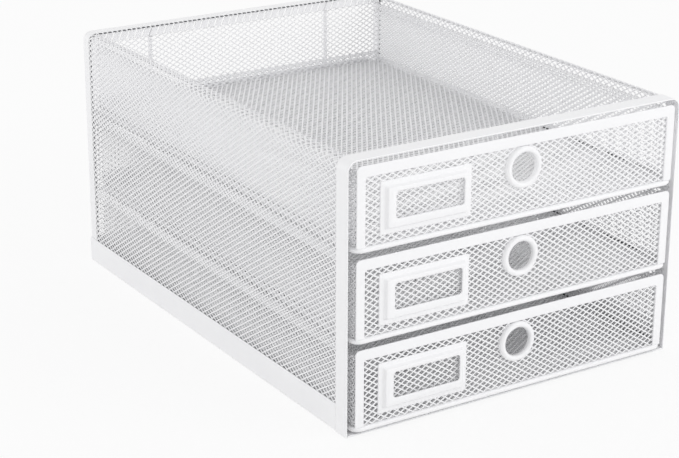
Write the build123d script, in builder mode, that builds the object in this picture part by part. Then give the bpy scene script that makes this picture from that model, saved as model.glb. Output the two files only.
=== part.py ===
from build123d import *
import os

os.makedirs("parts", exist_ok=True)

# White mesh desk organizer: an open-topped cabinet of steel mesh with three drawers that slide out.
# Millimetres. X is the width, the front faces -Y, Z is up, and the origin is the middle of the underside.

# Overall size of the closed organizer
cabinet_width = 251.0
cabinet_depth = 355.0
cabinet_height = 174.0
tier_names = ("bottom", "middle", "top")

# Stock that the pieces are made of
sheet_thickness = 1.0
mesh_thickness = 0.6
runner_thickness = 1.0
support_wire_diameter = 3.0
drawer_wire_diameter = 3.5

# Clearances
run_clearance = 0.3
side_clearance = 1.2
stop_clearance = 0.5
fitting_clearance = 0.2
wire_clearance = 0.05

# Frames, base and rolled rims of the cabinet
front_frame_depth = 12.0
back_frame_depth = 8.5
frame_corner = 7.0
frame_edge_round = 0.4
base_height = 18.0
base_corner_share = 0.8
side_mesh_lap = 8.0
rim_drop = 0.5
rim_radius = 6.0
rim_upright = 1.0
rim_flange = 2.0
back_mesh_drop = 0.6
support_wire_spacing = 150.0

# Runners and rear rails that carry the drawers
runner_width = 11.0
runner_leg = 7.5
rail_width = 7.0
rail_upright = 8.5

# Drawers
drawer_gap = 4.0
drawer_wire_bend = 5.0
wall_drop = 3.0
rear_lip_height = 9.0
border_thickness = 1.2
border_top = 7.0
border_side = 6.0
border_corner = 5.0
border_inner_corner = 2.0
front_mesh_inset = 1.0

# Fittings on each drawer front, which stand out from the mesh by the same amount
fitting_rise = 3.0
ring_outer_diameter = 26.5
ring_inner_diameter = 18.0
ring_round = 1.8
ring_hole_diameter = 20.0
ring_pad_diameter = 30.0
label_width = 65.0
label_from_left = 16.5
label_from_foot = 5.2
label_from_border = 4.6
label_flange = 3.0
label_sheet = 0.8
label_slope = 22.0
window_width = 49.0
window_from_left = 9.8
window_from_foot = 9.0
window_from_head = 7.0
window_corner = 2.0
card_lap = 2.5

# Diamond mesh: the real gaps are drawn a few times coarser, so that a sheet keeps under 300 of them
mesh_cell_length = 6.0
mesh_cell_height = 3.8
wall_coarseness = 4.5
floor_coarseness = 5.2
gap_share = 0.735
hem_width = 6.0

# Length by which a cut runs past the faces that it opens
overrun = 1.0

# Places worked out from the sizes above
half_width = cabinet_width / 2
half_depth = cabinet_depth / 2
fitting_front = -half_depth
front_mesh_front = fitting_front + fitting_rise
frame_front = front_mesh_front + mesh_thickness
frame_back = frame_front + front_frame_depth
base_corner = base_corner_share * sheet_thickness
skirt_inner_x = half_width - sheet_thickness
skirt_inner_y = half_depth - sheet_thickness
side_mesh_inner_x = skirt_inner_x - mesh_thickness
back_frame_front = skirt_inner_y - back_frame_depth
back_mesh_front = back_frame_front - mesh_thickness
runner_inner_x = side_mesh_inner_x - runner_width
rail_front = back_mesh_front - rail_width

tier_pitch = (cabinet_height - 2 * sheet_thickness) / len(tier_names)
runner_top = sheet_thickness + runner_thickness
first_wire_low = runner_top + run_clearance

wire_outer_x = side_mesh_inner_x - runner_thickness - side_clearance
panel_half_width = wire_outer_x - drawer_wire_diameter / 2
panel_width = 2 * panel_half_width
panel_height = tier_pitch - drawer_wire_diameter - drawer_gap
wire_front = frame_front - (mesh_thickness + border_thickness) / 2
wire_rear = back_mesh_front - runner_thickness - stop_clearance - drawer_wire_diameter / 2
panel_foot = drawer_wire_diameter
panel_top = panel_foot + panel_height
floor_top = panel_foot + mesh_thickness
wall_top = panel_top - wall_drop
label_height = panel_height - border_top - label_from_border - label_from_foot
window_height = label_height - window_from_foot - window_from_head
ring_middle = panel_top - border_top - fitting_clearance - ring_outer_diameter / 2

wall_cell = (mesh_cell_length * wall_coarseness, mesh_cell_height * wall_coarseness)
floor_cell = (mesh_cell_height * floor_coarseness, mesh_cell_length * floor_coarseness)


def write(piece, name):
    """Labels a finished piece and writes it as a node."""
    piece.part.label = name
    export_step(piece.part, f"parts/{name}.step")


def plate(low, high, mode=Mode.ADD):
    """Draws a rectangle between two corners in the open sketch."""
    with Locations(((low[0] + high[0]) / 2, (low[1] + high[1]) / 2)):
        Rectangle(high[0] - low[0], high[1] - low[1], mode=mode)


def arch(width, foot, top, corner, mode=Mode.ADD):
    """Draws an upright plate with a square foot and rounded top corners in the open sketch."""
    half = width / 2
    with BuildLine() as outline:
        FilletPolyline((-half, foot), (-half, top), (half, top), (half, foot), radius=corner)
        Line((half, foot), (-half, foot))
    make_face(outline.edges(), mode=mode)


def diamond_gaps(low, high, cell):
    """Cuts staggered diamond gaps out of the open sketch, over the field between two corners."""
    columns = max(2, round((high[0] - low[0]) / cell[0]))
    rows = max(2, round((high[1] - low[1]) / cell[1]))
    step_x = (high[0] - low[0]) / columns
    step_y = (high[1] - low[1]) / rows
    tip_x = gap_share * step_x / 2
    tip_y = gap_share * step_y / 2
    diamond = ((-tip_x, 0), (0, -tip_y), (tip_x, 0), (0, tip_y))
    with Locations(((low[0] + high[0]) / 2, (low[1] + high[1]) / 2)):
        with GridLocations(step_x, step_y, columns, rows):
            Polygon(*diamond, mode=Mode.SUBTRACT)
        with GridLocations(step_x, step_y, columns - 1, rows - 1):
            Polygon(*diamond, mode=Mode.SUBTRACT)


# Base panel: the flat bottom of the cabinet, narrowed at the front to pass inside the front frame
with BuildPart() as base_panel:
    with BuildSketch():
        plate((-half_width, frame_back), (half_width, half_depth))
        plate((-skirt_inner_x, frame_front), (skirt_inner_x, frame_back))
    extrude(amount=sheet_thickness)
    fillet(base_panel.edges().filter_by(Axis.Z).group_by(Axis.Y)[-1], radius=base_corner)
write(base_panel, "base_panel")

# Skirts: upright strips on the edges of the base panel, at both sides and across the back
with BuildPart() as left_skirt:
    with BuildSketch(Plane.XY.offset(sheet_thickness)):
        plate((-half_width, frame_back), (-skirt_inner_x, skirt_inner_y))
    extrude(amount=base_height - sheet_thickness)
write(left_skirt, "left_skirt")

with BuildPart() as right_skirt:
    mirror(left_skirt.part, about=Plane.YZ)
write(right_skirt, "right_skirt")

with BuildPart() as rear_skirt:
    with BuildSketch(Plane.XY.offset(sheet_thickness)):
        plate((-half_width, skirt_inner_y), (half_width, half_depth))
    extrude(amount=base_height - sheet_thickness)
    fillet(rear_skirt.edges().filter_by(Axis.Z).group_by(Axis.Y)[-1], radius=base_corner)
write(rear_skirt, "rear_skirt")

# Front frame: a strip bent into an arch that stands on edge, with its front edges eased
with BuildPart() as front_frame:
    with BuildSketch(Plane.XZ.offset(-frame_front)):
        arch(cabinet_width, 0, cabinet_height, frame_corner)
        arch(
            cabinet_width - 2 * sheet_thickness,
            0,
            cabinet_height - sheet_thickness,
            frame_corner - sheet_thickness,
            mode=Mode.SUBTRACT,
        )
    extrude(amount=-front_frame_depth)
    front_edges = front_frame.faces().sort_by(Axis.Y)[0].edges()
    fillet(front_edges.group_by(Axis.Z)[1:], radius=frame_edge_round)
write(front_frame, "front_frame")

# Back frame: a narrower strip of the same kind, inside the skirts
with BuildPart() as back_frame:
    with BuildSketch(Plane.XZ.offset(-back_frame_front)):
        arch(2 * skirt_inner_x, sheet_thickness, cabinet_height, frame_corner - sheet_thickness)
        arch(
            2 * skirt_inner_x - 2 * sheet_thickness,
            sheet_thickness,
            cabinet_height - sheet_thickness,
            frame_corner - 2 * sheet_thickness,
            mode=Mode.SUBTRACT,
        )
    extrude(amount=-back_frame_depth)
write(back_frame, "back_frame")

# Side meshes: flat sheets inside the front frame's legs and the skirts, up to the rolled rims
rim_foot = cabinet_height - rim_drop - rim_radius - rim_upright
with BuildPart() as left_side_mesh:
    with BuildSketch(Plane.YZ.offset(-skirt_inner_x)):
        plate((frame_back - side_mesh_lap, sheet_thickness), (back_frame_front, rim_foot))
        diamond_gaps(
            (frame_back, base_height),
            (back_frame_front - hem_width, rim_foot),
            wall_cell,
        )
    extrude(amount=mesh_thickness)
write(left_side_mesh, "left_side_mesh")

with BuildPart() as right_side_mesh:
    mirror(left_side_mesh.part, about=Plane.YZ)
write(right_side_mesh, "right_side_mesh")

# Rolled rims: the top edges of the side meshes, turned inwards and hemmed double
with BuildPart() as left_rim:
    with BuildSketch(Plane.XZ.offset(-frame_back)):
        rim_top = cabinet_height - rim_drop
        with BuildLine() as rim_line:
            FilletPolyline(
                (-skirt_inner_x, rim_foot),
                (-skirt_inner_x, rim_top),
                (-skirt_inner_x + rim_radius + rim_flange, rim_top),
                radius=rim_radius,
            )
            offset(amount=mesh_thickness, side=Side.RIGHT)
        make_face()
    extrude(amount=frame_back - back_mesh_front)
write(left_rim, "left_rim")

with BuildPart() as right_rim:
    mirror(left_rim.part, about=Plane.YZ)
write(right_rim, "right_rim")

# Back mesh: a flat sheet between the side meshes, on the front edge of the back frame
back_mesh_top = cabinet_height - back_mesh_drop
with BuildPart() as back_mesh:
    with BuildSketch(Plane.XZ.offset(-back_mesh_front)):
        arch(2 * side_mesh_inner_x, sheet_thickness, back_mesh_top, rim_radius)
        diamond_gaps(
            (-side_mesh_inner_x + hem_width, base_height),
            (side_mesh_inner_x - hem_width, back_mesh_top - hem_width),
            wall_cell,
        )
    extrude(amount=-mesh_thickness)
write(back_mesh, "back_mesh")

# Support wires: two upright wires behind the back mesh, from the base panel to the back frame
support_wire_y = back_frame_front + wire_clearance + support_wire_diameter / 2
with BuildPart() as back_support_wires:
    with BuildSketch(Plane.XY.offset(sheet_thickness)):
        with Locations((0, support_wire_y)):
            with GridLocations(support_wire_spacing, 0, 2, 1):
                Circle(support_wire_diameter / 2)
    extrude(amount=cabinet_height - 2 * sheet_thickness)
write(back_support_wires, "back_support_wires")

# Runners: flat strips on the base panel for the bottom drawer, angles on the side meshes for the others
with BuildPart() as flat_runner:
    with BuildSketch(Plane.XZ.offset(-frame_back)):
        plate((-side_mesh_inner_x, sheet_thickness), (-runner_inner_x, runner_top))
    extrude(amount=frame_back - back_mesh_front)

with BuildPart() as angle_runner:
    add(flat_runner.part)
    with BuildSketch(Plane.XZ.offset(-frame_back)):
        plate(
            (-side_mesh_inner_x, runner_top - runner_leg),
            (-side_mesh_inner_x + runner_thickness, runner_top),
        )
    extrude(amount=frame_back - back_mesh_front)

# Rear rails: angles between the runners, whose uprights stop the closing drawers
with BuildPart() as rear_rail:
    with BuildSketch(Plane.YZ.offset(-runner_inner_x)):
        plate((rail_front, sheet_thickness), (back_mesh_front, runner_top))
        plate(
            (back_mesh_front - runner_thickness, sheet_thickness),
            (back_mesh_front, sheet_thickness + rail_upright),
        )
    extrude(amount=2 * runner_inner_x)

for tier, tier_name in enumerate(tier_names):
    tier_place = (0, 0, tier * tier_pitch)
    with BuildPart() as left_runner:
        with Locations(tier_place):
            add(angle_runner.part if tier else flat_runner.part)
    write(left_runner, f"{tier_name}_left_runner")
    with BuildPart() as right_runner:
        mirror(left_runner.part, about=Plane.YZ)
    write(right_runner, f"{tier_name}_right_runner")
    with BuildPart() as placed_rail:
        with Locations(tier_place):
            add(rear_rail.part)
    write(placed_rail, f"{tier_name}_rear_rail")

# Drawer pieces, drawn once with their underside at zero height

# Bottom wire: a closed loop whose front run is the rounded lip under the drawer front
with BuildPart() as bottom_wire:
    with BuildLine(Plane.XY.offset(drawer_wire_diameter / 2)) as wire_path:
        FilletPolyline(
            (-panel_half_width, wire_rear),
            (-panel_half_width, wire_front),
            (panel_half_width, wire_front),
            (panel_half_width, wire_rear),
            radius=drawer_wire_bend,
            close=True,
        )
    with BuildSketch(Plane(wire_path.line @ 0, z_dir=wire_path.line % 0)):
        Circle(drawer_wire_diameter / 2)
    sweep(path=wire_path.line)

# Floor mesh: lies on the wire
with BuildPart() as floor_mesh:
    with BuildSketch(Plane.XY.offset(panel_foot)):
        plate((-panel_half_width, frame_front), (panel_half_width, wire_rear))
        diamond_gaps(
            (-panel_half_width + hem_width, frame_front + hem_width),
            (panel_half_width - hem_width, wire_rear - hem_width),
            floor_cell,
        )
    extrude(amount=mesh_thickness)

# Side walls: stand on the floor between the drawer front and the rear wall
with BuildPart() as left_wall_mesh:
    with BuildSketch(Plane.YZ.offset(-panel_half_width)):
        wall_rear = wire_rear - mesh_thickness
        plate((frame_front, floor_top), (wall_rear, wall_top))
        diamond_gaps(
            (frame_front + hem_width, floor_top + hem_width),
            (wall_rear - hem_width, wall_top - hem_width),
            wall_cell,
        )
    extrude(amount=mesh_thickness)

with BuildPart() as right_wall_mesh:
    mirror(left_wall_mesh.part, about=Plane.YZ)

# Rear wall: a low hemmed lip across the whole width, over which the back mesh shows
with BuildPart() as rear_wall_mesh:
    with BuildSketch(Plane.XZ.offset(-wire_rear)):
        plate((-panel_half_width, floor_top), (panel_half_width, floor_top + rear_lip_height))
    extrude(amount=mesh_thickness)

# Front mesh: stands on the wire behind the border, with a round hole for the finger ring
with BuildPart() as front_mesh:
    with BuildSketch(Plane.XZ.offset(-front_mesh_front)):
        front_mesh_top = panel_top - front_mesh_inset
        front_mesh_width = panel_width - 2 * front_mesh_inset
        arch(front_mesh_width, panel_foot, front_mesh_top, border_corner)
        diamond_gaps(
            (-panel_half_width + border_side, panel_foot),
            (panel_half_width - border_side, panel_top - border_top),
            wall_cell,
        )
        with Locations((0, ring_middle)):
            Circle(ring_pad_diameter / 2)
            Circle(ring_hole_diameter / 2, mode=Mode.SUBTRACT)
    extrude(amount=-mesh_thickness)

# Front border: a flat arch of sheet round the top and the sides of the drawer front
with BuildPart() as front_border:
    with BuildSketch(Plane.XZ.offset(-front_mesh_front)):
        arch(panel_width, panel_foot, panel_top, border_corner)
        arch(
            panel_width - 2 * border_side,
            panel_foot,
            panel_top - border_top,
            border_inner_corner,
            mode=Mode.SUBTRACT,
        )
    extrude(amount=border_thickness)

# Label holder: a stamped frame with a flat flange, a raised middle, a window and a slot for a card
label_left = -panel_half_width + label_from_left
label_foot = panel_foot + label_from_foot
window_left = label_left + window_from_left
window_foot = label_foot + window_from_foot
with BuildPart() as label_holder:
    with BuildSketch(Plane.XZ.offset(-front_mesh_front)):
        plate((label_left, label_foot), (label_left + label_width, label_foot + label_height))
    extrude(amount=label_sheet)
    with BuildSketch(Plane.XZ.offset(-front_mesh_front)):
        plate(
            (label_left + label_flange, label_foot + label_flange),
            (label_left + label_width - label_flange, label_foot + label_height - label_flange),
        )
    extrude(amount=fitting_rise, taper=label_slope)
    with BuildSketch(Plane.XZ.offset(-front_mesh_front)):
        plate(
            (window_left - card_lap, window_foot - card_lap),
            (window_left + window_width + card_lap, window_foot + window_height + card_lap),
        )
    extrude(amount=fitting_rise - label_sheet, mode=Mode.SUBTRACT)
    with BuildSketch(Plane.XZ.offset(-front_mesh_front)):
        with Locations((window_left + window_width / 2, window_foot + window_height / 2)):
            RectangleRounded(window_width, window_height, window_corner)
    extrude(amount=fitting_rise + overrun, mode=Mode.SUBTRACT)

# Finger ring: a rounded eye round the hole in the front mesh, for a fingertip to pull
with BuildPart() as finger_ring:
    with BuildSketch(Plane.YZ) as ring_section:
        plate(
            (fitting_front, ring_middle + ring_inner_diameter / 2),
            (front_mesh_front, ring_middle + ring_outer_diameter / 2),
        )
        fillet(ring_section.vertices().group_by(Axis.X)[0], radius=ring_round)
    revolve(axis=Axis((0, 0, ring_middle), (0, 1, 0)))

drawer_pieces = {
    "bottom_wire": bottom_wire,
    "floor_mesh": floor_mesh,
    "left_wall_mesh": left_wall_mesh,
    "right_wall_mesh": right_wall_mesh,
    "rear_wall_mesh": rear_wall_mesh,
    "front_mesh": front_mesh,
    "front_border": front_border,
    "label_holder": label_holder,
    "finger_ring": finger_ring,
}

# The three drawers, each on its own runners
for tier, tier_name in enumerate(tier_names):
    for piece_name, piece in drawer_pieces.items():
        with BuildPart() as placed_piece:
            with Locations((0, 0, first_wire_low + tier * tier_pitch)):
                add(piece.part)
        write(placed_piece, f"{tier_name}_{piece_name}")
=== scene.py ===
import math

import bpy
import numpy as np
from bpy.props import FloatProperty, FloatVectorProperty, IntProperty, PointerProperty
from bpy.types import Operator, Panel, PropertyGroup
from mathutils import Matrix, Vector


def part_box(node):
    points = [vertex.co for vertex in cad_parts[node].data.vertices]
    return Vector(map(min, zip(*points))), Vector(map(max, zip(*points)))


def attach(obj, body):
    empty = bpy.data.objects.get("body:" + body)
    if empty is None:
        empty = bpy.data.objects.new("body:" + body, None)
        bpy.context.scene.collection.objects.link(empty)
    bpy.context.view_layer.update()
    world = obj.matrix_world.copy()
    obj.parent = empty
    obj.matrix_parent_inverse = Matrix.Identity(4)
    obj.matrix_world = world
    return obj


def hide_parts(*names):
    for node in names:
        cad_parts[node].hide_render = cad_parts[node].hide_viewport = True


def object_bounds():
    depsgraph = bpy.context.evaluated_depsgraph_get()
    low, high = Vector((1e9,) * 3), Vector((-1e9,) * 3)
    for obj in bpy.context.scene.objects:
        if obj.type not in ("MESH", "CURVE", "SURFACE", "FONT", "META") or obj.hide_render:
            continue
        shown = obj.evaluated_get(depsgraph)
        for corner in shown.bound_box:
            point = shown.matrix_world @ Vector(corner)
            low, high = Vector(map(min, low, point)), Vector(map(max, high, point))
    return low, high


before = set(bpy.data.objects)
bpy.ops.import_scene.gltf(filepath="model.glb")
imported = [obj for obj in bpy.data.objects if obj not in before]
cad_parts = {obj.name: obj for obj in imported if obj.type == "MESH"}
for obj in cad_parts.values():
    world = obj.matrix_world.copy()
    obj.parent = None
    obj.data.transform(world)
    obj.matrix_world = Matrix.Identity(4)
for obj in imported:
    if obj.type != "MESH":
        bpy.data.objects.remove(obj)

bl_info = {
    "name": "Mesh desk organizer",
    "version": (1, 0, 0),
    "blender": (4, 5, 0),
    "location": "3D View > Sidebar > Organizer",
    "description": "Dresses a white mesh desk organizer with three drawers in diamond mesh and powder coat",
    "category": "Object",
}

TIERS = ("bottom", "middle", "top")
SIDES = {"left": -1, "right": 1}
CAD_LOW, CAD_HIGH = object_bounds()

# Width of the image that the camera is set up for, in pixels
IMAGE_WIDTH = 679

# Edges that turn by more than this stay sharp, in degrees, with more leeway on stamped and turned pieces
CREASE = 40
SOFT_CREASE = 50

# A fold's gap over its bend radius: a little more than two, so that both of its bends fit in
FOLD_TO_BEND = 2.1

# Room for a drawer wall beside the turned up edge of the floor, in sheet thicknesses
WALL_ROOM = 1.6

# Depth of the dark strip that paints the shade in the back seam, as a share of the back frame's thickness
SEAM_DEPTH = 0.45

# Faces of mesh smaller than this share of a cell are left out
SLIVER = 1e-4

# Ways from the middle of a diamond to its four crossings, in half cells
DIAMOND_WAYS = np.array([(1, 0), (0, 1), (-1, 0), (0, -1)])


# Sizes and colours that a user would change


def hex_to_linear(text):
    """Turns an sRGB hex colour into linear red, green and blue."""
    shares = [int(text[i : i + 2], 16) / 255 for i in (0, 2, 4)]
    return tuple(s / 12.92 if s <= 0.04045 else ((s + 0.055) / 1.055) ** 2.4 for s in shares)


def span(node, axis):
    """Gives the size of a node of the frame along an axis."""
    low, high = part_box(node)
    return high[axis] - low[axis]


def length(name, description, metres):
    """A setting in metres."""
    return FloatProperty(name=name, description=description, default=metres, min=0.0, unit="LENGTH")


def angle(name, description, degrees):
    """A setting that is an angle."""
    return FloatProperty(name=name, description=description, default=math.radians(degrees), subtype="ANGLE")


def share(name, description, default):
    """A setting between nothing and all."""
    return FloatProperty(name=name, description=description, default=default, min=0, max=1, subtype="FACTOR")


def figure(name, description, default):
    """A setting without a unit."""
    return FloatProperty(name=name, description=description, default=default, min=0)


def power(name, description, watts):
    """A lamp's power."""
    return FloatProperty(name=name, description=description, default=watts, min=0, subtype="POWER")


def spot(name, description, place):
    """A place in metres."""
    return FloatVectorProperty(
        name=name, description=description, default=place, subtype="TRANSLATION", unit="LENGTH"
    )


def colour(name, description, text):
    """A colour, given as sRGB hex."""
    return FloatVectorProperty(
        name=name, description=description, default=hex_to_linear(text), min=0, max=1, subtype="COLOR"
    )


class OrganizerMesh(PropertyGroup):
    """Sizes of the diamond mesh."""

    cell_length: length("Cell length", "Long way of a diamond, between strand crossings", 0.006)
    cell_height: length("Cell height", "Short way of a diamond, between strand crossings", 0.0038)
    gap_share: share("Gap share", "Size of the gap in a diamond, as a share of the cell", 0.74)
    floor_gap_share: share("Floor gap share", "The same in the drawer floors, whose strands are wider", 0.7)
    thickness: length("Thickness", "Thickness of the sheet", span("left_side_mesh", 0))
    strand: length("Strand", "Depth of a strand, which stretching has twisted out of the sheet", 0.0007)
    strand_edge: share("Strand edge", "Depth of a strand at its edges, as a share of that at its crest", 0.6)
    liner_scale: figure("Liner scale", "Size of the cells in the liner on the top drawer's floor", 1.07)
    liner_setback: length("Liner setback", "Distance of that liner from the front of the floor", 0.11)
    fold_gap: length("Fold gap", "Distance between the two layers of a hem, middle to middle", 0.0012)
    wall_hem: length("Wall hem", "Height of the folded hem on drawer walls", 0.006)
    lip_hem: length("Lip hem", "Height of the folded hem on the low rear lips of the drawers", 0.002)
    back_band: length("Back band", "Height of the unstretched band along the top of the back", 0.007)
    slit_pitch: length("Slit pitch", "Distance between the closed slits in that band", 0.006)
    slit_width: length("Slit width", "Width of such a slit", 0.0012)
    slit_lean: length("Slit lean", "Distance by which a slit leans over the band's height", 0.003)
    rim_hem: length("Rim hem", "Width of the layer folded back under the rolled rims", 0.004)
    floor_turn: length("Floor turn", "Height by which a drawer floor turns up along the walls", 0.004)


class OrganizerSheet(PropertyGroup):
    """Sizes of the sheet and wire pieces that the frame doesn't give."""

    edge_round: length("Edge rounding", "Rounding that the coat gives a sheet edge", 0.00035)
    rim_radius: length("Rim radius", "Outer radius of the rolled rims", 0.006)
    frame_corner: length("Frame corner", "Outer radius of the front frame's top corners", 0.007)
    skirt_corner: length("Skirt corner", "Radius of the base's rear corners, seen from above", 0.0016)
    skirt_bend: length("Skirt bend", "Outer radius of the fold along the foot of the skirt", 0.0012)
    border_top: length("Border top", "Width of the drawer border along the top", 0.007)
    border_side: length("Border side", "Width of the drawer border along the sides", 0.006)
    border_corner: length("Border corner", "Outer radius of the drawer border", 0.003)
    border_inner_corner: length("Border inner corner", "Inner radius of the drawer border", 0.001)
    wire_bend: length("Wire bend", "Radius of the bottom wire's corners", 0.005)
    ring_bore: length("Ring bore", "Width of the hole in a finger ring", 0.0188)
    ring_round: length("Ring rounding", "Rounding of a finger ring's front edges", 0.0018)
    label_flange: length("Label flange", "Width of the flat edge round a label holder", 0.003)
    label_sheet: length("Label sheet", "Thickness of a label holder's sheet", 0.0008)
    label_slope: angle("Label slope", "Lean of a label holder's raised sides", 22)
    window_left: length("Window left", "Label holder's frame left of the window", 0.0098)
    window_right: length("Window right", "Label holder's frame right of the window", 0.0062)
    window_foot: length("Window foot", "Label holder's frame below the window", 0.009)
    window_head: length("Window head", "Label holder's frame above the window", 0.007)
    window_corner: length("Window corner", "Radius of the window's corners", 0.002)
    card_lap: length("Card lap", "Depth of the card slot behind the window's frame", 0.0025)
    # The seam and crease sizes below are of the dark strips that paint the shade in the open seams
    seam_width: length("Seam width", "Width of the open seam beside the back frame", 0.0017)
    seam_dash: length("Seam dash", "Length of the seam that shows between two strands", 0.0021)
    crease_width: length("Crease width", "Width of the open seams along the drawer floors", 0.0015)
    crease_dash: length("Crease dash", "Length of such a seam that shows between two strands", 0.0015)
    crease_reach: length("Crease reach", "Distance that such a seam runs back from the front", 0.128)
    arc_steps: IntProperty(
        name="Arc steps", description="Steps in a quarter turn of a bend", default=10, min=2
    )


class OrganizerFinish(PropertyGroup):
    """Colours of the finishes, and of the painted shade in the seams."""

    coat: colour("Coat", "White powder coat", "F9F9FA")
    coat_thin: colour("Thin coat", "Powder coat where it lies thinner", "F5F5F7")
    # The seam colour is painted shade: dark strips in the seams stand in for their shadow
    seam: colour("Seam", "Bare steel in seams that the coat doesn't reach", "4A4B4E")
    floor: colour("Floor", "Pale studio floor", "F4F4F4")


class OrganizerStage(PropertyGroup):
    """Place of the camera and strength of the light."""

    azimuth: angle("Azimuth", "Direction of the camera round the organizer", -32.6)
    elevation: angle("Elevation", "Height of the camera above the horizon", 20.2)
    roll: angle("Roll", "Turn of the camera about its view", 0.25)
    distance: length("Distance", "Distance of the camera from the point it turns about", 1.31)
    pivot_height: length("Pivot height", "Height of that point above the floor", 0.08)
    slide_right: length("Slide right", "Part's place right of the picture's middle", 0.0165)
    slide_up: length("Slide up", "Part's place above the picture's middle", 0.0235)
    focal_pixels: figure("Focal length", "Focal length in pixels", 1899)
    fill_light: figure("Fill light", "Strength of the light from all round", 1.07)
    sky_top: share("Sky top", "Fill light from straight above, as a share of the one from all round", 0.63)
    key_light: power("Key light", "Power of the lamp at the front right", 10)
    key_place: spot("Key place", "Place of that lamp", (1.2, -1.7, 1.0))
    side_light: power("Side light", "Power of the lamp at the rear left", 5)
    side_place: spot("Side place", "Place of that lamp", (-1.7, 1.4, 0.6))
    lamp_size: length("Lamp size", "Width of both round lamps", 1.6)
    floor_glow: share("Floor glow", "Share of the floor's look that is even white, without shadow", 0.85)


# Materials


def add_node(tree, kind, links=(), **settings):
    """Adds a shader node, sets its properties and input values, and joins inputs to other nodes' outputs."""
    node = tree.nodes.new(kind)
    for name, value in settings.items():
        if name in node.bl_rna.properties:
            setattr(node, name, value)
        else:
            node.inputs[name.replace("_", " ")].default_value = value
    for name, output in links:
        tree.links.new(node.inputs[name], output)
    return node


def powder_coat(name, grain, depth, roughness):
    """Powder coat, sprayed dry and baked: an even satin white with a faint orange peel, thinner in places."""
    if name in bpy.data.materials:
        return bpy.data.materials[name]
    finish = bpy.context.scene.organizer_finish
    material = bpy.data.materials.new(name)
    material.use_nodes = True
    tree = material.node_tree
    shader = tree.nodes["Principled BSDF"]
    shader.inputs["IOR"].default_value = 1.5
    place = add_node(tree, "ShaderNodeTexCoord").outputs["Object"]
    # The coat's thickness drifts over some 30 mm, and its peel has lumps as wide as the grain.
    drift_width = 0.03
    gloss_spread = 0.06
    drift = add_node(tree, "ShaderNodeTexNoise", [("Vector", place)], Scale=1 / drift_width, Detail=2.0)
    peel = add_node(tree, "ShaderNodeTexNoise", [("Vector", place)], Scale=1 / grain, Detail=3.0)
    tint = add_node(tree, "ShaderNodeMix", [("Factor", drift.outputs["Fac"])], data_type="RGBA")
    tint.inputs["A"].default_value = (*finish.coat, 1)
    tint.inputs["B"].default_value = (*finish.coat_thin, 1)
    gloss = add_node(
        tree,
        "ShaderNodeMapRange",
        [("Value", peel.outputs["Fac"])],
        To_Min=roughness - gloss_spread,
        To_Max=roughness + gloss_spread,
    )
    bump = add_node(tree, "ShaderNodeBump", [("Height", peel.outputs["Fac"])], Strength=0.6, Distance=depth)
    tree.links.new(shader.inputs["Base Color"], tint.outputs["Result"])
    tree.links.new(shader.inputs["Roughness"], gloss.outputs["Result"])
    tree.links.new(shader.inputs["Normal"], bump.outputs["Normal"])
    return material


def sheet_coat():
    """Powder coat on sheet steel: the peel shows as a soft unevenness in the gloss."""
    return powder_coat("white_powder_coat_on_sheet_steel", grain=0.0022, depth=0.00004, roughness=0.45)


def mesh_coat():
    """Powder coat on expanded steel mesh: a little duller, because strands take the spray from all sides."""
    return powder_coat("white_powder_coat_on_steel_mesh", grain=0.0012, depth=0.00002, roughness=0.52)


def wire_coat():
    """Powder coat on drawn wire: rounder and a little glossier, with a fine peel."""
    return powder_coat("white_powder_coat_on_steel_wire", grain=0.0016, depth=0.00003, roughness=0.4)


def painted_seam_shade():
    """Painted shade for tight seams: a dark, dull, mottled strip that stands in for the shadow line in a
    seam.
    """
    name = "painted_shade_in_seam"
    if name in bpy.data.materials:
        return bpy.data.materials[name]
    material = bpy.data.materials.new(name)
    material.use_nodes = True
    tree = material.node_tree
    shader = tree.nodes["Principled BSDF"]
    shader.inputs["Roughness"].default_value = 0.7
    place = add_node(tree, "ShaderNodeTexCoord").outputs["Object"]
    # The painted shade is mottled in patches some 2 mm wide, and the lighter patches are about a third
    # lighter.
    patch_width = 0.002
    lighter = 1.3
    shade_mottle = add_node(tree, "ShaderNodeTexNoise", [("Vector", place)], Scale=1 / patch_width, Detail=2.0)
    tint = add_node(tree, "ShaderNodeMix", [("Factor", shade_mottle.outputs["Fac"])], data_type="RGBA")
    # The seam colour, lighter and darker in patches, paints the shade in a seam
    seam = bpy.context.scene.organizer_finish.seam
    tint.inputs["A"].default_value = (*seam, 1)
    tint.inputs["B"].default_value = (*(lighter * c for c in seam), 1)
    tree.links.new(shader.inputs["Base Color"], tint.outputs["Result"])
    return material


# Shapes


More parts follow.
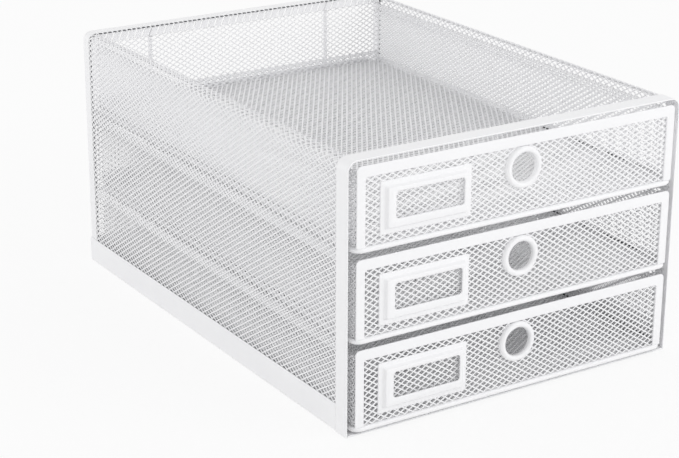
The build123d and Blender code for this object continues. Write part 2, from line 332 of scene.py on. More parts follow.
def bent_path(corners, radii, closed=False):
    """Points, left-hand normals and lengths so far of a flat path of straight runs and arcs."""
    steps = bpy.context.scene.organizer_sheet.arc_steps
    corners = [np.array(c, float) for c in corners]
    last = len(corners) - 1
    points, normals = [], []
    for i, corner in enumerate(corners):
        before = corners[i - 1] if i or closed else None
        after = corners[(i + 1) % len(corners)] if i < last or closed else None
        if before is None or after is None:
            run = after - corner if before is None else corner - before
            run = run / np.linalg.norm(run)
            points.append(corner)
            normals.append(np.array([-run[1], run[0]]))
            continue
        run_in = (corner - before) / np.linalg.norm(corner - before)
        run_out = (after - corner) / np.linalg.norm(after - corner)
        turn = math.atan2(run_in[0] * run_out[1] - run_in[1] * run_out[0], run_in @ run_out)
        radius = radii[i] if closed else radii[i - 1]
        start = corner - run_in * radius * math.tan(abs(turn) / 2)
        normal_in = np.array([-run_in[1], run_in[0]])
        centre = start + normal_in * radius * math.copysign(1, turn)
        count = max(2, round(steps * abs(turn) / (math.pi / 2)))
        for k in range(count + 1):
            c, s = math.cos(turn * k / count), math.sin(turn * k / count)
            normal = np.array([c * normal_in[0] - s * normal_in[1], s * normal_in[0] + c * normal_in[1]])
            points.append(centre - normal * radius * math.copysign(1, turn))
            normals.append(normal)
    points, normals = np.array(points), np.array(normals)
    runs = np.linalg.norm(np.diff(points, axis=0), axis=1)
    return points, normals, np.concatenate([[0], np.cumsum(runs)])


def follow(path, along, lift):
    """Both coordinates of points at some lengths along a path, lifted off it along its normals."""
    points, normals, lengths = path
    spots = [np.interp(along, lengths, points[:, k]) for k in (0, 1)]
    ways = [np.interp(along, lengths, normals[:, k]) for k in (0, 1)]
    return spots[0] + lift * ways[0], spots[1] + lift * ways[1]


def stretch(path, start, end):
    """The stretch of a path between two lengths."""
    points, normals, lengths = path
    along = np.concatenate([[start], lengths[(lengths > start) & (lengths < end)], [end]])
    spots = np.stack([np.interp(along, lengths, points[:, k]) for k in (0, 1)], axis=-1)
    ways = np.stack([np.interp(along, lengths, normals[:, k]) for k in (0, 1)], axis=-1)
    return spots, ways, along - start


def arch(low, high, corner, inset_x=0.0, inset_z=0.0):
    """Path up the left side of a box as seen from the front, along its top and down its right side."""
    left, right, head = low.x + inset_x, high.x - inset_x, high.z - inset_z
    return bent_path([(left, low.z), (left, head), (right, head), (right, low.z)], [corner] * 2)


def hemmed_path(foot, top, hem):
    """Path up an upright sheet, over a fold and down along a hem, by inward distance and height."""
    mesh = bpy.context.scene.organizer_mesh
    half = mesh.thickness / 2
    fold = half + mesh.fold_gap
    crest = top - half
    bends = [mesh.fold_gap / FOLD_TO_BEND] * 2
    return bent_path([(half, foot), (half, crest), (fold, crest), (fold, crest - hem)], bends)


def rounded_box(low, high, radius):
    """Outline of a rectangle with rounded corners, counter-clockwise."""
    corners = [(low[0], low[1]), (high[0], low[1]), (high[0], high[1]), (low[0], high[1])]
    return bent_path(corners, [radius] * 4, closed=True)[0]


def ribbon(path, thickness):
    """Outline of a bent strip of some thickness about a path, with its two ends rounded off."""
    points, normals, _ = path
    steps = bpy.context.scene.organizer_sheet.arc_steps
    half = thickness / 2
    turns = np.linspace(0, math.pi, steps + 1)[1:-1, None]

    def end(point, normal, way):
        along = np.array([normal[1], -normal[0]]) * way
        return point + half * (np.cos(turns) * normal * way + np.sin(turns) * along)

    return np.vstack(
        [
            points + half * normals,
            end(points[-1], normals[-1], 1),
            (points - half * normals)[::-1],
            end(points[0], normals[0], -1),
        ]
    )


def facing_out(points, faces):
    """Turns all faces of a closed skin over if it is inside out."""
    tops = np.array([face[:3] for face in faces])
    a, b, c = (points[tops[:, k]] for k in range(3))
    if np.einsum("ij,ij->", a, np.cross(b, c)) < 0:
        return [face[::-1] for face in faces]
    return faces


def loft(loops, closed=False):
    """Points and outward faces of a skin over loops of equal count, closed lengthwise or capped."""
    loops = np.asarray(loops)
    count, around = loops.shape[:2]
    number = np.arange(count * around).reshape(count, around)
    ahead = np.roll(number, -1, axis=0) if closed else number[1:]
    here = number if closed else number[:-1]
    quads = np.stack([here, np.roll(here, -1, 1), np.roll(ahead, -1, 1), ahead], axis=-1)
    faces = quads.reshape(-1, 4).tolist()
    if not closed:
        faces += [number[0][::-1].tolist(), number[-1].tolist()]
    points = loops.reshape(-1, 3)
    return points, facing_out(points, faces)


def sweep(path, outline, plane, closed=False):
    """A skin that carries an outline along a flat path. plane puts path coordinates and heights in space."""
    points, normals, _ = path
    spots = points[:, None] + normals[:, None] * outline[None, :, :1]
    heights = np.broadcast_to(outline[None, :, 1], spots.shape[:2])
    return loft(plane(spots[..., 0], spots[..., 1], heights), closed=closed)


def on_xz(across, up, depth):
    """Points of an upright plane seen from the front."""
    return np.stack([across, depth, up], axis=-1)


def on_xy(across, deep, height):
    """Points of a level plane seen from above."""
    return np.stack([across, deep, height], axis=-1)


def at_depth(outline, depth):
    """Loop of points that an upright outline makes at some depth."""
    return on_xz(outline[:, 0], outline[:, 1], np.full(len(outline), depth))


def prism(corners, start, end):
    """A bar between two depths whose section has some corners across and up."""
    return loft([at_depth(np.array(corners), depth) for depth in (start, end)])


def shown(name, data, material, body, nodes, height=0.0):
    """Makes a piece of mesh data, moved up by a height, that rides on a body and stands for nodes."""
    data.materials.clear()
    data.materials.append(material)
    piece = bpy.data.objects.new(name, data)
    piece.location.z = height
    bpy.context.scene.collection.objects.link(piece)
    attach(piece, body)
    if nodes:
        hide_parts(*nodes)


def skin_data(name, points, faces, crease=CREASE):
    """Mesh data of a smooth skin, with edges sharper than a crease in degrees left sharp."""
    data = bpy.data.meshes.new(name)
    data.from_pydata(points.tolist(), [], faces)
    data.validate()
    data.shade_smooth()
    data.set_sharp_from_angle(angle=math.radians(crease))
    return data


def joined(*skins):
    """Several skins as the points and faces of one."""
    points, faces, offset = [], [], 0
    for some_points, some_faces in skins:
        points.append(some_points)
        faces += [[i + offset for i in face] for face in some_faces]
        offset += len(some_points)
    return np.vstack(points), faces


def lattice(counts):
    """Middles of the diamonds in a field of cells, all crossings, and which four belong to each diamond.

    Diamonds stand on the points of a grid and in the middles of its squares. Places are given in half cells.
    """
    on_grid = np.stack(np.meshgrid(*[2 * np.arange(n + 1) for n in counts]), axis=-1).reshape(-1, 2)
    between = np.stack(np.meshgrid(*[2 * np.arange(n) + 1 for n in counts]), axis=-1).reshape(-1, 2)
    middles = np.vstack([on_grid, between])
    corners = (middles[:, None] + DIAMOND_WAYS).reshape(-1, 2)
    crossings, number = np.unique(corners, axis=0, return_inverse=True)
    return middles, crossings, number.reshape(-1, 4)


def turned_over(place, size, pitch, lift):
    """Says whether place turns a flat field over, so that its faces would look the wrong way."""
    across, up = np.array(size) / 2
    step_share = 0.01
    step_across, step_up = step_share * np.array(pitch)
    probe = place(
        np.array([across, across + step_across, across, across]),
        np.array([up, up, up + step_up, up]),
        np.array([0, 0, 0, lift]),
    )
    return np.linalg.det(probe[1:] - probe[0]) < 0


def diamond_mesh(name, size, cell, place, trim=None, gap_share=None):
    """Mesh data of diamond mesh over a field of some size. place bends the flat field into space.

    Each strand has a low crest on both sides and square edges towards the gaps beside it. trim moves points
    that lie outside the sheet on to its edge and says which ones they were.
    """
    mesh = bpy.context.scene.organizer_mesh
    counts = [max(1, round(size[k] / cell[k])) for k in (0, 1)]
    pitch = [size[k] / counts[k] for k in (0, 1)]
    middles, crossings, number = lattice(counts)
    half_cell = np.array(pitch) / 2
    ridge = crossings * half_cell
    gap_corners = middles[:, None] + (gap_share or mesh.gap_share) * DIAMOND_WAYS
    rim = (gap_corners * half_cell).reshape(-1, 2)
    # Each crossing and each corner of a gap has a point on both sides of the sheet.
    flat = np.vstack([ridge, ridge, rim, rim])
    half = mesh.strand / 2
    edge = mesh.strand_edge * half
    lift = np.repeat([half, -half, edge, -edge], [len(ridge), len(ridge), len(rim), len(rim)])
    outside = np.zeros(len(flat), bool)
    if trim:
        flat, outside = trim(flat)
    inside = np.clip(flat, 0, size)
    outside |= (inside != flat).any(axis=1)
    flat = inside
    # Faces on both sides run from the crests of the strands to the gaps, where walls join the two sides.
    near = 2 * len(ridge) + np.arange(len(rim)).reshape(-1, 4)
    far = near + len(rim)
    under = number + len(ridge)
    after = np.roll(np.arange(4), -1)
    front = np.stack([number, number[:, after], near[:, after], near], axis=-1).reshape(-1, 4)
    back = np.stack([under, far, far[:, after], under[:, after]], axis=-1).reshape(-1, 4)
    wall = np.stack([near, near[:, after], far[:, after], far], axis=-1).reshape(-1, 4)
    # Faces that lie outside the sheet, or that its edge has squeezed to nothing, are left out.
    sides = np.vstack([front, back])
    a, b, c, d = (flat[sides[:, k]] for k in range(4))
    across, down = c - a, d - b
    area = np.abs(across[:, 0] * down[:, 1] - across[:, 1] * down[:, 0])
    quads = np.vstack([sides[area > SLIVER * pitch[0] * pitch[1]], wall])
    quads = quads[~outside[quads].all(axis=1)]
    used, quads = np.unique(quads, return_inverse=True)
    quads = quads.reshape(-1, 4)
    flat, lift = flat[used], lift[used]
    points = place(flat[:, 0], flat[:, 1], lift)
    if turned_over(place, size, pitch, half):
        quads = quads[:, ::-1]
    data = bpy.data.meshes.new(name)
    data.from_pydata(points.tolist(), [], quads.tolist())
    data.shade_smooth()
    data.set_sharp_from_angle(angle=math.radians(CREASE))
    chart = data.uv_layers.new(name="OFBake")
    chart.data.foreach_set("uv", (flat / np.array(size))[quads].astype(np.float32).ravel())
    return data


def cells(long_way):
    """Cell sizes of the mesh along a field's two ways, with the long way first or second."""
    mesh = bpy.context.scene.organizer_mesh
    sizes = (mesh.cell_length, mesh.cell_height)
    return sizes if long_way == 0 else sizes[::-1]


def drawer_rise(tier):
    """Height of a tier's drawer above the bottom one."""
    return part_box(f"{tier}_front_border")[0].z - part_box("bottom_front_border")[0].z


def in_each_drawer(kind, data, material, nodes):
    """Puts a piece of the bottom drawer into all three drawers."""
    for tier in TIERS:
        stood_for = [f"{tier}_{node}" for node in nodes]
        shown(f"{tier}_{kind}", data, material, f"{tier}_drawer", stood_for, drawer_rise(tier))


class OrganizerOperator:
    """What the organizer's operators share."""

    bl_options = {"REGISTER", "UNDO"}


# Cabinet


class ORGANIZER_OT_side_meshes(OrganizerOperator, Operator):
    """Makes both side meshes, whose tops roll inwards and end in a hem."""

    bl_idname = "organizer.side_meshes"
    bl_label = "Side meshes"

    def execute(self, context):
        mesh = context.scene.organizer_mesh
        sheet = context.scene.organizer_sheet
        half = mesh.thickness / 2
        for side, sign in SIDES.items():
            low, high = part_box(f"{side}_side_mesh")
            rim_low, rim_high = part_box(f"{side}_rim")
            outer = max(abs(low.x), abs(high.x))
            top = rim_high.z - half
            reach = rim_high.x - rim_low.x - half
            under = top - mesh.fold_gap
            bend = mesh.fold_gap / FOLD_TO_BEND
            path = bent_path(
                [(half, low.z), (half, top), (reach, top), (reach, under), (reach - mesh.rim_hem, under)],
                [sheet.rim_radius - half, bend, bend],
            )

            def place(u, v, w):
                inward, height = follow(path, v, w)
                return np.stack([sign * (outer - inward), low.y + u, height], axis=-1)

            data = diamond_mesh(f"{side}_side_diamonds", (high.y - low.y, path[2][-1]), cells(0), place)
            nodes = [f"{side}_side_mesh", f"{side}_rim"]
            shown(f"{side}_side_diamonds", data, mesh_coat(), "cabinet", nodes)
        return {"FINISHED"}


class ORGANIZER_OT_back_mesh(OrganizerOperator, Operator):
    """Makes the back mesh, which ends at the top in an unstretched band with closed slits."""

    bl_idname = "organizer.back_mesh"
    bl_label = "Back mesh"

    def execute(self, context):
        mesh = context.scene.organizer_mesh
        low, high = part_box("back_mesh")
        deep = (low.y + high.y) / 2

        def place(u, v, w):
            return np.stack([low.x + u, deep - w, low.z + v], axis=-1)

        size = (high.x - low.x, high.z - low.z - mesh.back_band)
        data = diamond_mesh("back_diamonds", size, cells(0), place)
        shown("back_diamonds", data, mesh_coat(), "cabinet", ["back_mesh"])
        points, faces = joined(*self.band(mesh, low, high))
        # The band's ends follow the round corners of the back frame.
        corner = context.scene.organizer_sheet.frame_corner
        inward = np.clip((high.x - np.abs(points[:, 0])) / corner, 0, 1)
        ceiling = high.z - corner * (1 - np.sqrt(1 - (1 - inward) ** 2))
        points[:, 2] = np.minimum(points[:, 2], ceiling)
        data = skin_data("back_band", points, faces)
        shown("back_band", data, sheet_coat(), "cabinet", [])
        return {"FINISHED"}

    def band(self, mesh, low, high):
        """Skins of the band's tongues between the slits and of the two edges that join them."""
        foot, head = high.z - mesh.back_band, high.z
        edge, lean = mesh.slit_width, mesh.slit_lean
        sections = []
        for bottom, top in ((foot, foot + edge), (head - edge, head)):
            sections.append([(low.x, bottom), (high.x, bottom), (high.x, top), (low.x, top)])
        count = round((high.x - low.x) / mesh.slit_pitch)
        pitch = (high.x - low.x - lean) / count
        for k in range(count):
            left, right = low.x + k * pitch, low.x + (k + 1) * pitch - mesh.slit_width
            sections.append([(left, foot), (right, foot), (right + lean, head), (left + lean, head)])
        return [prism(section, low.y, high.y) for section in sections]


class ORGANIZER_OT_frames(OrganizerOperator, Operator):
    """Makes the front and back frames: strips bent into arches, with rounded edges."""

    bl_idname = "organizer.frames"
    bl_label = "Frames"

    def execute(self, context):
        sheet = context.scene.organizer_sheet
        thickness = span("left_skirt", 0)
        corners = {"front_frame": sheet.frame_corner, "back_frame": sheet.frame_corner - thickness}
        for name, corner in corners.items():
            low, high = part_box(name)
            outline = rounded_box((-thickness, low.y), (0, high.y), sheet.edge_round)
            data = skin_data(f"{name}_strip", *sweep(arch(low, high, corner), outline, on_xz))
            shown(f"{name}_strip", data, sheet_coat(), "cabinet", [name])
        return {"FINISHED"}


class ORGANIZER_OT_back_seam(OrganizerOperator, Operator):
    """Makes dark strips of painted shade in the open seam between the back frame and the meshes."""

    bl_idname = "organizer.back_seam"
    bl_label = "Back seam"

    def execute(self, context):
        sheet = context.scene.organizer_sheet
        low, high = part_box("back_frame")
        thickness = span("left_skirt", 0)
        path = arch(low, high, sheet.frame_corner - thickness)
        depth = SEAM_DEPTH * thickness
        round_off = depth / 4
        outline = rounded_box((-thickness, low.y - sheet.seam_width), (-thickness + depth, low.y), round_off)
        pitch = context.scene.organizer_mesh.cell_height
        dashes = []
        for start in np.arange(0, path[2][-1] - pitch, pitch):
            dashes.append(sweep(stretch(path, start, start + sheet.seam_dash), outline, on_xz))
        data = skin_data("back_seam_shade", *joined(*dashes))
        # The dashes are painted shade: dark strips where the seam lies in shadow
        shown("back_seam_shade", data, painted_seam_shade(), "cabinet", [])
        return {"FINISHED"}


class ORGANIZER_OT_base(OrganizerOperator, Operator):
    """Makes the base: a panel with a skirt folded up at both sides and the back."""

    bl_idname = "organizer.base"
    bl_label = "Base"

    def execute(self, context):
        sheet = context.scene.organizer_sheet
        panel_low, panel_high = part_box("base_panel")
        left_low, left_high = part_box("left_skirt")
        thickness = span("left_skirt", 0)
        half = thickness / 2
        path = bent_path(
            [
                (panel_high.x, left_low.y),
                (panel_high.x, panel_high.y),
                (panel_low.x, panel_high.y),
                (panel_low.x, left_low.y),
            ],
            [sheet.skirt_corner] * 2,
        )
        bend = sheet.skirt_bend
        upright = bent_path([(half, left_high.z - half), (half, half), (bend + half, half)], [bend - half])
        skirt = sweep(path, ribbon(upright, thickness), on_xy)
        edge = sheet.edge_round
        panel_loops = []
        for inset, height in ((edge, 0), (0, edge), (0, thickness - edge), (edge, thickness)):
            side = panel_high.x - bend - inset
            front = panel_low.y + inset
            rear = panel_high.y - bend - inset
            corners = [(-side, front), (side, front), (side, rear), (-side, rear)]
            panel_loops.append([(x, y, height) for x, y in corners])
        data = skin_data("base_tray", *joined(skirt, loft(panel_loops)))
        nodes = ["base_panel", "left_skirt", "right_skirt", "rear_skirt"]
        shown("base_tray", data, sheet_coat(), "cabinet", nodes)
        return {"FINISHED"}


class ORGANIZER_OT_support_wires(OrganizerOperator, Operator):
    """Makes the two upright wires behind the back mesh."""

    bl_idname = "organizer.support_wires"
    bl_label = "Support wires"

    def execute(self, context):
        low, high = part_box("back_support_wires")
        radius = (high.y - low.y) / 2
        deep = (low.y + high.y) / 2
        steps = 4 * context.scene.organizer_sheet.arc_steps
        turns = np.linspace(0, 2 * math.pi, steps, endpoint=False)
        wires = []
        for across in (low.x + radius, high.x - radius):
            xs, ys = across + radius * np.cos(turns), deep + radius * np.sin(turns)
            wires.append(loft([on_xy(xs, ys, np.full(steps, height)) for height in (low.z, high.z)]))
        data = skin_data("back_wires", *joined(*wires))
        shown("back_wires", data, wire_coat(), "cabinet", ["back_support_wires"])
        return {"FINISHED"}


class ORGANIZER_OT_runners(OrganizerOperator, Operator):
    """Folds the upper runners out of mesh, and coats the frame's own bottom runners and rear rails."""

    bl_idname = "organizer.runners"
    bl_label = "Runners"

    def execute(self, context):
        bottom, *upper = TIERS
        plain = [f"{tier}_rear_rail" for tier in TIERS] + [f"{bottom}_{side}_runner" for side in SIDES]
        for node in plain:
            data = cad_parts[node].data
            data.materials.clear()
            data.materials.append(sheet_coat())
        for tier in upper:
            for side, sign in SIDES.items():
                self.runner(context.scene.organizer_mesh, f"{tier}_{side}_runner", sign)
        return {"FINISHED"}

    def runner(self, mesh, node, sign):
        """An angle of mesh, with one leg against the cabinet's side and one under the drawer."""
        low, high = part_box(node)
        half = mesh.strand / 2
        inner, outer = sorted((abs(low.x), abs(high.x)))
        level = high.z - half
        path = bent_path([(outer - half, low.z), (outer - half, level), (inner, level)], [mesh.strand])

        def place(u, v, w):
            across, height = follow(path, v, w)
            return np.stack([sign * across, low.y + u, height], axis=-1)

        size = (high.y - low.y, path[2][-1])
        data = diamond_mesh(f"{node}_diamonds", size, cells(0), place, gap_share=mesh.floor_gap_share)
        shown(f"{node}_diamonds", data, mesh_coat(), "cabinet", [node])


# Drawers


class ORGANIZER_OT_drawer_floors(OrganizerOperator, Operator):
    """Makes the drawer floors, whose long edges turn up along the walls."""

    bl_idname = "organizer.drawer_floors"
    bl_label = "Drawer floors"

    def execute(self, context):
        mesh = context.scene.organizer_mesh
        low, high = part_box("bottom_floor_mesh")
        side = high.x - WALL_ROOM * mesh.thickness
        level = (low.z + high.z) / 2
        crest = level + mesh.floor_turn
        path = bent_path([(-side, crest), (-side, level), (side, level), (side, crest)], [mesh.thickness] * 2)

        def place(u, v, w):
            across, height = follow(path, v, w)
            return np.stack([across, low.y + u, height], axis=-1)

        size = (high.y - low.y, path[2][-1])
        gap_share = mesh.floor_gap_share
        crossways = diamond_mesh("floor_diamonds", size, cells(1), place, gap_share=gap_share)
        in_each_drawer("floor_diamonds", crossways, mesh_coat(), ["floor_mesh"])
        # A second sheet, whose diamonds lie lengthways, covers the top drawer's floor except at the front.
        setback = mesh.liner_setback

        def place_liner(u, v, w):
            return place(u + setback, v, w)

        liner_size = (size[0] - setback, size[1])
        liner_cell = [mesh.liner_scale * cell for cell in cells(0)]
        liner = diamond_mesh("floor_liner", liner_size, liner_cell, place_liner, gap_share=gap_share)
        rise = drawer_rise("top") + mesh.strand
        shown("top_floor_liner", liner, mesh_coat(), "top_drawer", [], rise)
        # Dark strips paint the shade where the front of each floor meets the walls
        self.seams(mesh, context.scene.organizer_sheet, side, low.y, high.z)
        return {"FINISHED"}

    def seams(self, mesh, sheet, side, front, level):
        """Dark strips of painted shade between the strands, where the front of a floor meets the side walls.
        """
        foot, head = level + mesh.strand, level + sheet.crease_width
        dashes = []
        for sign in SIDES.values():
            outer = sign * (side - mesh.strand)
            inner = sign * (side - sheet.crease_width)
            corners = [(inner, foot), (outer, foot), (outer, head), (inner, head)]
            for start in np.arange(front + mesh.cell_height, front + sheet.crease_reach, mesh.cell_height):
                dashes.append(prism(corners, start, start + sheet.crease_dash))
        data = skin_data("floor_seam_shade", *joined(*dashes))
        # The dashes are painted shade in the crease between floor and wall
        in_each_drawer("floor_seam_shade", data, painted_seam_shade(), [])


class ORGANIZER_OT_drawer_walls(OrganizerOperator, Operator):
    """Makes the side walls and low rear lips of the drawers, with a hem folded inwards along their tops."""

    bl_idname = "organizer.drawer_walls"
    bl_label = "Drawer walls"

    def execute(self, context):
        mesh = context.scene.organizer_mesh
        low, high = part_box("bottom_left_wall_mesh")
        path = hemmed_path(low.z, high.z, mesh.wall_hem)
        for side, sign in SIDES.items():

            def place(u, v, w):
                inward, height = follow(path, v, w)
                return np.stack([sign * (-low.x - inward), low.y + u, height], axis=-1)

            name = f"{side}_wall_diamonds"
            data = diamond_mesh(name, (high.y - low.y, path[2][-1]), cells(0), place)
            in_each_drawer(name, data, mesh_coat(), [f"{side}_wall_mesh"])
        self.rear_lip(mesh.lip_hem)
        return {"FINISHED"}

    def rear_lip(self, hem):
        """The low rear wall, hemmed like the side walls."""
        low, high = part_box("bottom_rear_wall_mesh")
        path = hemmed_path(low.z, high.z, hem)

        def place(u, v, w):
            inward, height = follow(path, v, w)
            return np.stack([low.x + u, high.y - inward, height], axis=-1)

        data = diamond_mesh("rear_lip_diamonds", (high.x - low.x, path[2][-1]), cells(0), place)
        in_each_drawer("rear_lip_diamonds", data, mesh_coat(), ["rear_wall_mesh"])


class ORGANIZER_OT_drawer_fronts(OrganizerOperator, Operator):
    """Makes the drawer fronts: diamond mesh with a round hole, behind a flat border with rounded edges."""

    bl_idname = "organizer.drawer_fronts"
    bl_label = "Drawer fronts"

    def execute(self, context):
        mesh = context.scene.organizer_mesh
        sheet = context.scene.organizer_sheet
        low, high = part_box("bottom_front_mesh")
        ring_low, ring_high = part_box("bottom_finger_ring")
        inset = sheet.border_side / 2
        left, foot = low.x + inset, low.z
        size = (high.x - low.x - 2 * inset, high.z - low.z - inset)
        # The hole's edge lies under the middle of the finger ring's band.
        middle = np.array([-left, (ring_low.z + ring_high.z) / 2 - foot])
        hole = (sheet.ring_bore + ring_high.x - ring_low.x) / 4
        hardly = 1e-9

        def place(u, v, w):
            return np.stack([left + u, high.y - mesh.strand / 2 - w, foot + v], axis=-1)

        def trim(flat):
            arm = flat - middle
            far = np.linalg.norm(arm, axis=1)
            inside = far < hole
            push = np.where(inside, hole / np.maximum(far, hardly), 1)
            return middle + arm * push[:, None], inside

        data = diamond_mesh("front_diamonds", size, cells(0), place, trim)
        in_each_drawer("front_diamonds", data, mesh_coat(), ["front_mesh"])
        self.border(sheet)
        return {"FINISHED"}

    def border(self, sheet):
        """A flat arch whose section is stretched between its outer and inner outlines."""
        low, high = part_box("bottom_front_border")
        side = sheet.border_side
        outer = arch(low, high, sheet.border_corner)[0]
        inner = arch(low, high, sheet.border_inner_corner, side, sheet.border_top)[0]
        section = rounded_box((0, low.y), (side, high.y), sheet.edge_round)
        shares = section[:, 0] / side
        spots = outer[:, None] + (inner - outer)[:, None] * shares[None, :, None]
        depths = np.broadcast_to(section[None, :, 1], spots.shape[:2])
        data = skin_data("border", *loft(on_xz(spots[..., 0], spots[..., 1], depths)))
        in_each_drawer("border", data, sheet_coat(), ["front_border"])


class ORGANIZER_OT_label_holders(OrganizerOperator, Operator):
    """Makes the label holders: stamped frames with a flat edge, raised sides, a window and a card slot."""

    bl_idname = "organizer.label_holders"
    bl_label = "Label holders"

    def execute(self, context):
        sheet = context.scene.organizer_sheet
        low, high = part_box("bottom_label_holder")
        edge, thin, flange = sheet.edge_round, sheet.label_sheet, sheet.label_flange
        front, back = low.y, high.y
        lean = (back - front) * math.tan(sheet.label_slope)
        left, right = low.x + sheet.window_left, high.x - sheet.window_right
        foot, head = low.z + sheet.window_foot, high.z - sheet.window_head
        corner = 3 * edge

        def outer(inset, depth):
            box_low, box_high = (low.x + inset, low.z + inset), (high.x - inset, high.z - inset)
            return at_depth(rounded_box(box_low, box_high, corner), depth)

        def opening(grow, depth):
            box_low, box_high = (left - grow, foot - grow), (right + grow, head + grow)
            return at_depth(rounded_box(box_low, box_high, sheet.window_corner + grow / 2), depth)

        # The loops run from the back over the flat edge, up the slope, across the front, and back through the
        # window and the card slot. A rounded edge passes its sharp corner at a distance of cut, both ways.
        shelf = back - thin
        crown = flange + lean
        cut = 0.3 * edge
        bend_reach, bend_rise = 0.3 * lean, 2 * edge
        shoulder, brow = 1.2 * edge, 0.4 * edge
        loops = [
            outer(0, back),
            outer(0, shelf + edge),
            outer(cut, shelf + cut),
            outer(edge, shelf),
            outer(flange - edge, shelf),
            outer(flange, shelf - cut),
            outer(flange + bend_reach, shelf - bend_rise),
            outer(crown - cut, front + shoulder),
            outer(crown, front + brow),
            outer(crown + edge, front),
            opening(edge, front),
            opening(cut, front + cut),
            opening(0, front + edge),
            opening(0, front + thin),
            opening(sheet.card_lap, front + thin),
            opening(sheet.card_lap, back),
        ]
        data = skin_data("label_frame", *loft(loops, closed=True), crease=SOFT_CREASE)
        in_each_drawer("label_frame", data, sheet_coat(), ["label_holder"])
        return {"FINISHED"}


class ORGANIZER_OT_finger_rings(OrganizerOperator, Operator):
    """Makes the finger rings: round eyes with a rounded front."""

    bl_idname = "organizer.finger_rings"
    bl_label = "Finger rings"

    def execute(self, context):
        sheet = context.scene.organizer_sheet
        low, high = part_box("bottom_finger_ring")
        outer = (high.x - low.x) / 2
        middle = (low.z + high.z) / 2
        inner = sheet.ring_bore / 2
        corners = [(inner, high.y), (inner, low.y), (outer, low.y), (outer, high.y)]
        section = bent_path(corners, [sheet.ring_round] * 2)[0]
        steps = 8 * sheet.arc_steps
        turns = np.linspace(0, 2 * math.pi, steps, endpoint=False)[:, None]
        arms = section[None, :, 0]
        depths = np.broadcast_to(section[None, :, 1], (steps, len(section)))
        loops = on_xz(arms * np.cos(turns), middle + arms * np.sin(turns), depths)
        data = skin_data("ring", *loft(loops, closed=True), crease=SOFT_CREASE)
        in_each_drawer("ring", data, sheet_coat(), ["finger_ring"])
        return {"FINISHED"}


class ORGANIZER_OT_bottom_wires(OrganizerOperator, Operator):
    """Makes the wire loops under the drawers, whose front runs are the rounded lips."""

    bl_idname = "organizer.bottom_wires"
    bl_label = "Bottom wires"

    def execute(self, context):
        sheet = context.scene.organizer_sheet
        low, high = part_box("bottom_bottom_wire")
        radius = (high.z - low.z) / 2
        level = (low.z + high.z) / 2
        path = bent_path(
            [
                (low.x + radius, high.y - radius),
                (low.x + radius, low.y + radius),
                (high.x - radius, low.y + radius),
                (high.x - radius, high.y - radius),
            ],
            [sheet.wire_bend] * 4,
            closed=True,
        )
        turns = np.linspace(0, 2 * math.pi, 2 * sheet.arc_steps, endpoint=False)
        outline = np.stack([radius * np.cos(turns), level + radius * np.sin(turns)], axis=-1)
        data = skin_data("wire_loop", *sweep(path, outline, on_xy, closed=True))
        in_each_drawer("wire_loop", data, wire_coat(), ["bottom_wire"])
        return {"FINISHED"}


# Stage


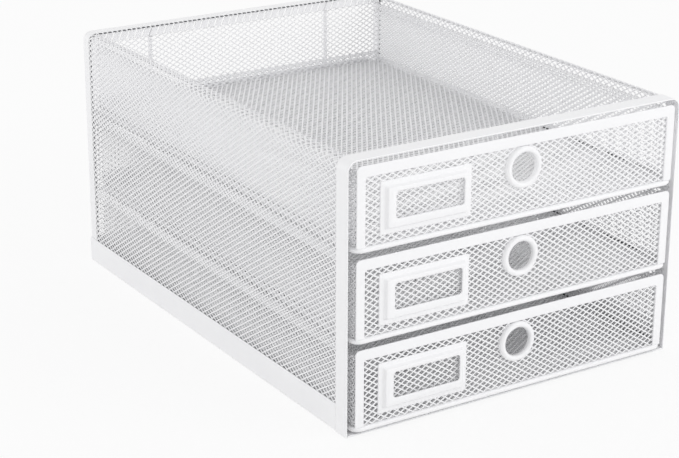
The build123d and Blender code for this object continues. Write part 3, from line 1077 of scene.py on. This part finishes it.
class ORGANIZER_OT_stage(OrganizerOperator, Operator):
    """Sets up the floor, the soft lamps, the white surroundings and the camera."""

    bl_idname = "organizer.stage"
    bl_label = "Stage"

    def execute(self, context):
        scene = context.scene
        stage = scene.organizer_stage
        scene.view_settings.view_transform = "Standard"
        self.surroundings(scene)
        self.floor(scene)
        self.lamp(scene, "key_lamp", stage.key_place, stage.key_light)
        self.lamp(scene, "side_lamp", stage.side_place, stage.side_light)
        self.camera(scene)
        return {"FINISHED"}

    def seen_directly(self, tree):
        """One for rays from the camera and for mirrored or refracted ones, which show plain white."""
        path = add_node(tree, "ShaderNodeLightPath")
        both = add_node(
            tree,
            "ShaderNodeMath",
            [(0, path.outputs["Is Camera Ray"]), (1, path.outputs["Is Glossy Ray"])],
            operation="MAXIMUM",
        )
        return add_node(
            tree,
            "ShaderNodeMath",
            [(0, both.outputs[0]), (1, path.outputs["Is Transmission Ray"])],
            operation="MAXIMUM",
        ).outputs[0]

    def surroundings(self, scene):
        """White surroundings, which light the organizer from all round."""
        world = bpy.data.worlds.new("white_studio")
        scene.world = world
        world.use_nodes = True
        tree = world.node_tree
        sky = tree.nodes["Background"]
        sky.inputs["Color"].default_value = (1, 1, 1, 1)
        # The light from all round fades towards the zenith, as in a room with white walls.
        fill = scene.organizer_stage.fill_light
        place = add_node(tree, "ShaderNodeTexCoord").outputs["Generated"]
        height = add_node(tree, "ShaderNodeSeparateXYZ", [("Vector", place)]).outputs["Z"]
        fade = add_node(
            tree,
            "ShaderNodeMapRange",
            [("Value", height)],
            To_Min=fill,
            To_Max=fill * scene.organizer_stage.sky_top,
        )
        strength = add_node(
            tree,
            "ShaderNodeMapRange",
            [("Value", self.seen_directly(tree)), ("To Min", fade.outputs["Result"])],
            To_Max=1.0,
        )
        tree.links.new(sky.inputs["Strength"], strength.outputs["Result"])

    def floor(self, scene):
        """A wide pale floor, which the camera sees as nearly white, with a trace of the shadow."""
        reach = 12.0
        level = -0.0003
        data = bpy.data.meshes.new("studio_floor")
        corners = [(-reach, -reach), (reach, -reach), (reach, reach), (-reach, reach)]
        data.from_pydata([(x, y, level) for x, y in corners], [], [(0, 1, 2, 3)])
        piece = bpy.data.objects.new("studio_floor", data)
        scene.collection.objects.link(piece)
        material = bpy.data.materials.new("matt_studio_floor")
        material.use_nodes = True
        tree = material.node_tree
        shader = tree.nodes["Principled BSDF"]
        shader.inputs["Base Color"].default_value = (*scene.organizer_finish.floor, 1)
        shader.inputs["Roughness"].default_value = 0.9
        glow = add_node(tree, "ShaderNodeEmission", Strength=1.0)
        amount = add_node(tree, "ShaderNodeMath", [(0, self.seen_directly(tree))], operation="MULTIPLY")
        amount.inputs[1].default_value = scene.organizer_stage.floor_glow
        blend = add_node(
            tree,
            "ShaderNodeMixShader",
            [(0, amount.outputs[0]), (1, shader.outputs["BSDF"]), (2, glow.outputs["Emission"])],
        )
        tree.links.new(tree.nodes["Material Output"].inputs["Surface"], blend.outputs["Shader"])
        data.materials.append(material)

    def lamp(self, scene, name, place, watts):
        """A large round lamp, aimed at the middle of the organizer."""
        light = bpy.data.lights.new(name, "AREA")
        light.shape = "DISK"
        light.size = scene.organizer_stage.lamp_size
        light.energy = watts
        lamp = bpy.data.objects.new(name, light)
        lamp.location = place
        aim = Vector((0, 0, (CAD_LOW.z + CAD_HIGH.z) / 2)) - Vector(place)
        lamp.rotation_euler = aim.to_track_quat("-Z", "Y").to_euler()
        scene.collection.objects.link(lamp)

    def camera(self, scene):
        """A camera that looks at the organizer from the front left, a little from above."""
        stage = scene.organizer_stage
        turn, rise = stage.azimuth, stage.elevation
        back = Vector((math.sin(turn) * math.cos(rise), -math.cos(turn) * math.cos(rise), math.sin(rise)))
        right = (-back).cross(Vector((0, 0, 1))).normalized()
        up = back.cross(right)
        lean = Matrix.Rotation(stage.roll, 3, back)
        right, up = lean @ right, lean @ up
        pivot = Vector((0, 0, stage.pivot_height))
        place = pivot + stage.distance * back - stage.slide_right * right - stage.slide_up * up
        data = bpy.data.cameras.new("photo_camera")
        data.lens = stage.focal_pixels / IMAGE_WIDTH * data.sensor_width
        data.clip_start, data.clip_end = 0.01, 100
        camera = bpy.data.objects.new("photo_camera", data)
        camera.matrix_world = Matrix.Translation(place) @ Matrix((right, up, back)).transposed().to_4x4()
        scene.collection.objects.link(camera)
        scene.camera = camera


OPERATORS = (
    ORGANIZER_OT_side_meshes,
    ORGANIZER_OT_back_mesh,
    ORGANIZER_OT_frames,
    ORGANIZER_OT_back_seam,
    ORGANIZER_OT_base,
    ORGANIZER_OT_support_wires,
    ORGANIZER_OT_runners,
    ORGANIZER_OT_drawer_floors,
    ORGANIZER_OT_drawer_walls,
    ORGANIZER_OT_drawer_fronts,
    ORGANIZER_OT_label_holders,
    ORGANIZER_OT_finger_rings,
    ORGANIZER_OT_bottom_wires,
    ORGANIZER_OT_stage,
)
GROUPS = {
    "organizer_mesh": OrganizerMesh,
    "organizer_sheet": OrganizerSheet,
    "organizer_finish": OrganizerFinish,
    "organizer_stage": OrganizerStage,
}


class ORGANIZER_PT_panel(Panel):
    """Lists the organizer's pieces and settings."""

    bl_idname = "ORGANIZER_PT_panel"
    bl_label = "Mesh desk organizer"
    bl_space_type = "VIEW_3D"
    bl_region_type = "UI"
    bl_category = "Organizer"

    def draw(self, context):
        for operator in OPERATORS:
            self.layout.operator(operator.bl_idname)
        for name, group in GROUPS.items():
            box = self.layout.box()
            for setting in group.__annotations__:
                box.prop(getattr(context.scene, name), setting)


def register():
    for group in (*GROUPS.values(), *OPERATORS, ORGANIZER_PT_panel):
        bpy.utils.register_class(group)
    for name, group in GROUPS.items():
        setattr(bpy.types.Scene, name, PointerProperty(type=group))


def unregister():
    for name in GROUPS:
        delattr(bpy.types.Scene, name)
    for group in reversed((*GROUPS.values(), *OPERATORS, ORGANIZER_PT_panel)):
        bpy.utils.unregister_class(group)


def main():
    register()
    for operator in OPERATORS:
        group, name = operator.bl_idname.split(".")
        getattr(getattr(bpy.ops, group), name)()


if __name__ == "__main__":
    main()
